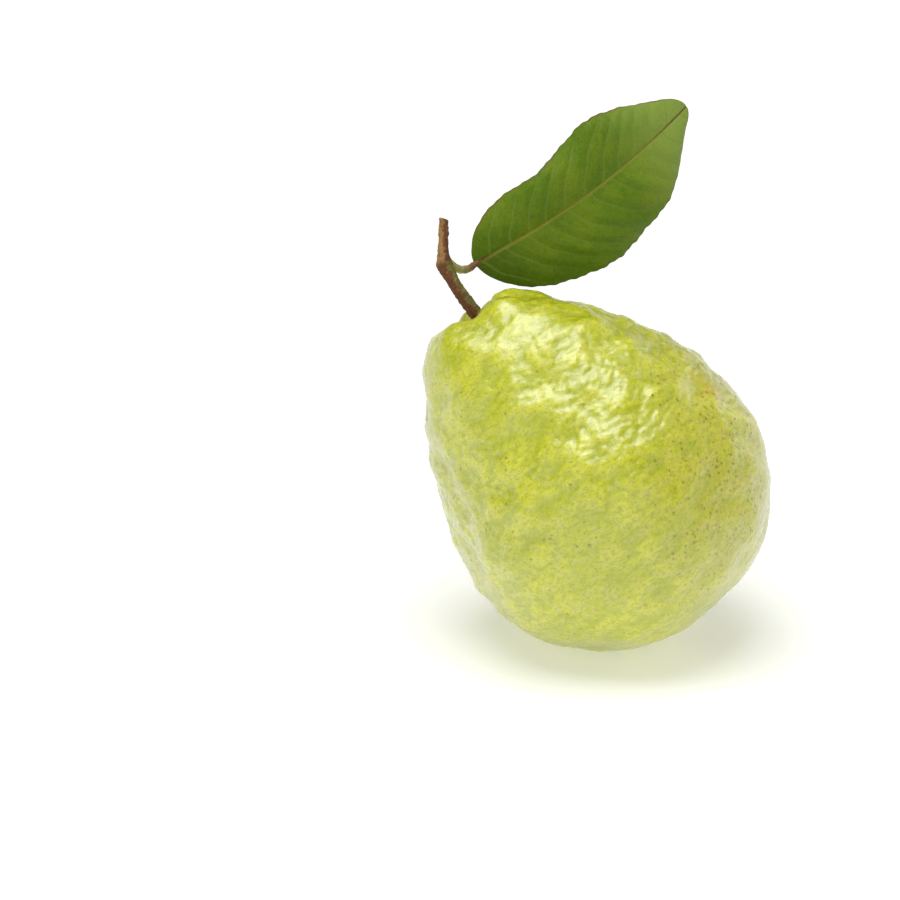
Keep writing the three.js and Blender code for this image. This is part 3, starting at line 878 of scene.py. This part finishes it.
class GUAVA_OT_calyx(bpy.types.Operator):
    """Builds the dry calyx: a dish, curled lobes and the threads left of the flower"""

    bl_idname = "guava.calyx"
    bl_label = "Calyx"

    def execute(self, context):
        look = context.scene.guava_calyx
        material = calyx_material(look)
        self.add_dish(look, material)
        for i in range(look.sepals):
            self.add_sepal(look, material, i)
        self.add_stamens(look, material)
        return {"FINISHED"}

    def add_dish(self, look, material):
        """The low dish, spun from half its outline"""
        radius = look.radius / MM
        outline = ((0, -1.1), (radius, -1.1), (radius, 0.9), (radius - 0.35, 1.3), (radius - 1, 1.15),
                   (radius - 1.3, 0.5), (1.4, 0.4), (0.8, 0.75), (0, 0.9))
        bm = bmesh.new()
        corners = [bm.verts.new((x, 0, z)) for x, z in outline]
        edges = [bm.edges.new(pair) for pair in zip(corners, corners[1:])]
        bmesh.ops.spin(bm, geom=corners + edges, cent=(0, 0, 0), axis=(0, 0, 1), dvec=(0, 0, 0),
                       angle=2 * math.pi, steps=64, use_merge=True)
        bmesh.ops.remove_doubles(bm, verts=bm.verts, dist=1e-4)
        bmesh.ops.subdivide_edges(bm, edges=bm.edges, cuts=2, use_grid_fill=True)
        bmesh.ops.recalc_face_normals(bm, faces=bm.faces)
        mesh = finished_mesh(bm, "calyx_dish")
        points = points_of(mesh)
        shrunk = 1 + 0.02 * ripples(points, 2.2, 31)
        points[:, :2] *= shrunk[:, None]
        points[:, 2] += 0.08 * ripples(points, 1.4, 37)
        move_points(mesh, placed_by(calyx_place(), points))
        keep_values(mesh, "worn", 0.5 * rise(points[:, 2], 0.9, 1.3))
        add_piece("calyx_dish", mesh, material, "calyx")

    def add_sepal(self, look, material, number):
        """One crumpled lobe, which rises from the dish's rim and curls out"""
        radius = look.radius / MM
        bm = bmesh.new()
        bmesh.ops.create_grid(bm, x_segments=24, y_segments=30, size=1)
        bmesh.ops.solidify(bm, geom=bm.faces[:], thickness=0.25)
        bmesh.ops.recalc_face_normals(bm, faces=bm.faces)
        mesh = finished_mesh(bm, f"calyx_sepal_{number + 1}")
        flat = points_of(mesh)
        side = flat[:, 0]
        up = (flat[:, 1] + 1) / 2
        thick = (flat[:, 2] - flat[:, 2].mean()) * 1.6
        taper = 0.12 + 0.88 * np.sqrt(1 - up**2.4)
        seed = 61 + number
        places = np.stack(
            [SEPAL_HALF_WIDTH * side, SEPAL_LENGTH * up, np.full_like(up, 2.3 * number)], 1
        )
        crumple = 0.14 * ripples(places, 2.1, seed) + 0.06 * ripples(places, 0.9, seed + 7)
        lean = 1.9 + 0.4 * math.sin(2.4 * number)
        curl = 1.7 + 0.4 * math.cos(1.7 * number)
        rising = np.stack([1.5 * lean * np.sqrt(up), SEPAL_LENGTH - 3 * curl * up**2])
        rising /= np.linalg.norm(rising, axis=0)
        shift = thick + crumple * up
        out = radius - SEPAL_SINK + lean * up**1.5 - 0.5 * side * side + shift * rising[1]
        x = SEPAL_HALF_WIDTH * side * taper * (1 + 0.06 * np.sin(9 * up + number))
        z = SEPAL_FOOT + SEPAL_LENGTH * up - curl * up**3 - shift * rising[0]
        turn = 2 * math.pi * (number + 0.05 * math.sin(5 * number)) / look.sepals - math.pi / 2
        points = np.stack(
            [x * math.cos(turn) - out * math.sin(turn), x * math.sin(turn) + out * math.cos(turn), z], 1
        )
        move_points(mesh, placed_by(calyx_place(), points))
        keep_values(mesh, "worn", 0.8 * np.maximum(rise(up, 0.75, 1), rise(np.abs(side), 0.8, 1)))
        add_piece(f"calyx_sepal_{number + 1}", mesh, material, "calyx")

    def add_stamens(self, look, material):
        """The dry threads, spread over the dish, with the thicker one in the middle"""
        rng = np.random.default_rng(19)
        bm = bmesh.new()
        for number in range(look.stamens):
            spread = STAMEN_REACH * math.sqrt((number + 0.5) / look.stamens)
            turn = GOLDEN_ANGLE * number
            tall = rng.uniform(*STAMEN_HEIGHT) * (STYLE["stretch"] if number == 0 else 1)
            thick = STYLE["radius"] if number == 0 else rng.uniform(*STAMEN_RADIUS)
            lean = Euler((rng.uniform(-0.5, 0.5), rng.uniform(-0.5, 0.5), turn)).to_matrix().to_4x4()
            foot = Matrix.Translation((spread * math.cos(turn), spread * math.sin(turn), 0.3))
            bmesh.ops.create_cone(
                bm, cap_ends=True, segments=6, radius1=thick, radius2=0.6 * thick, depth=tall,
                matrix=foot @ lean @ Matrix.Translation((0, 0, tall / 2)),
            )
        mesh = finished_mesh(bm, "calyx_stamens")
        points = points_of(mesh)
        move_points(mesh, placed_by(calyx_place(), points))
        keep_values(mesh, "worn", np.full(len(points), 0.4))
        add_piece("calyx_stamens", mesh, material, "calyx")


class GUAVA_OT_stage(bpy.types.Operator):
    """Sets the camera, the plain floor and the soft light"""

    bl_idname = "guava.stage"
    bl_label = "Stage"

    def execute(self, context):
        look = context.scene.guava_stage
        scene = context.scene
        scene.view_settings.view_transform = "Standard"
        self.add_camera(scene, look)
        self.add_floor(scene, look)
        self.add_lights(scene, look)
        return {"FINISHED"}

    def add_camera(self, scene, look):
        """The camera at its height, looking down at the fruit"""
        camera = bpy.data.cameras.new("camera")
        camera.lens = look.lens
        camera.clip_start = 0.01
        made = bpy.data.objects.new("camera", camera)
        made.location = (*CAMERA_SPOT, look.camera_height)
        made.rotation_euler = (math.pi / 2 - look.look_down, 0, 0)
        scene.collection.objects.link(made)
        scene.camera = made

    def add_floor(self, scene, look):
        """The plain floor, which gives off more light the farther it is from the fruit"""
        bm = bmesh.new()
        bmesh.ops.create_circle(bm, cap_ends=True, segments=96, radius=FLOOR_RADIUS)
        mesh = finished_mesh(bm, "floor")
        floor = bpy.data.objects.new("floor", mesh)
        material, tree, principled = new_material("floor", roughness=0.6)
        haze = noise_of(tree, 0.4, 2)
        pale = tuple(look.floor_colour)
        shade = tinted(tree, ramp(tree, haze, 0.3, 0.7), pale, tuple(0.985 * part for part in pale))
        tree.links.new(shade, principled.inputs["Base Color"])
        principled.inputs["Emission Color"].default_value = (1, 1, 1, 1)
        apart = add_node(tree, "ShaderNodeVectorMath", {0: place_of(tree)}, operation="LENGTH")
        near = FLOOR_GLOW["near"] * look.glow
        glow = ramp(tree, apart.outputs["Value"], FLOOR_GLOW["from"], FLOOR_GLOW["to"], near, look.glow)
        tree.links.new(glow, principled.inputs["Emission Strength"])
        mesh.materials.append(material)
        scene.collection.objects.link(floor)

    def add_lights(self, scene, look):
        """The even light of the surroundings, and the softboxes"""
        world = bpy.data.worlds.new("studio")
        world.use_nodes = True
        background = world.node_tree.nodes["Background"]
        background.inputs["Color"].default_value = (1, 1, 1, 1)
        tree = world.node_tree
        way = add_node(tree, "ShaderNodeTexCoord").outputs["Generated"]
        height = add_node(tree, "ShaderNodeSeparateXYZ", {"Vector": way}).outputs["Z"]
        strength = ramp(tree, height, *HORIZON_BAND, look.horizon, look.sky)
        tree.links.new(strength, background.inputs["Strength"])
        scene.world = world
        for name, spot, size, share in SOFTBOXES:
            light = bpy.data.lights.new(name, "AREA")
            light.shape = "SQUARE"
            light.size = size
            light.energy = share * look.softbox_power
            made = bpy.data.objects.new(name, light)
            made.location = spot
            made.rotation_euler = (LIT_SPOT - Vector(spot)).to_track_quat("-Z", "Y").to_euler()
            scene.collection.objects.link(made)


class GUAVA_PT_pieces(bpy.types.Panel):
    """Lists the pieces and their settings"""

    bl_label = "Guava"
    bl_idname = "GUAVA_PT_pieces"
    bl_space_type = "VIEW_3D"
    bl_region_type = "UI"
    bl_category = "Guava"

    def draw(self, context):
        for operator, settings in PIECES:
            box = self.layout.box()
            box.operator(operator.bl_idname)
            group = getattr(context.scene, settings)
            for name in group.__annotations__:
                box.prop(group, name)


PIECES = (
    (GUAVA_OT_stage, "guava_stage"),
    (GUAVA_OT_skin, "guava_skin"),
    (GUAVA_OT_twig, "guava_twig"),
    (GUAVA_OT_leaf, "guava_leaf"),
    (GUAVA_OT_calyx, "guava_calyx"),
)
SETTINGS = {
    "guava_stage": GuavaStageSettings,
    "guava_skin": GuavaSkinSettings,
    "guava_twig": GuavaTwigSettings,
    "guava_leaf": GuavaLeafSettings,
    "guava_calyx": GuavaCalyxSettings,
}
CLASSES = (*SETTINGS.values(), *(operator for operator, _ in PIECES), GUAVA_PT_pieces)


def register():
    """Adds the classes, and the settings of each piece, to Blender"""
    for kind in CLASSES:
        bpy.utils.register_class(kind)
    for name, settings in SETTINGS.items():
        setattr(bpy.types.Scene, name, PointerProperty(type=settings))


def unregister():
    """Takes them out again"""
    for name in SETTINGS:
        delattr(bpy.types.Scene, name)
    for kind in reversed(CLASSES):
        bpy.utils.unregister_class(kind)


def main():
    """Builds the stage and every piece"""
    register()
    for operator, _ in PIECES:
        group, name = operator.bl_idname.split(".")
        getattr(getattr(bpy.ops, group), name)()
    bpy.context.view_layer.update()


if __name__ == "__main__":
    main()
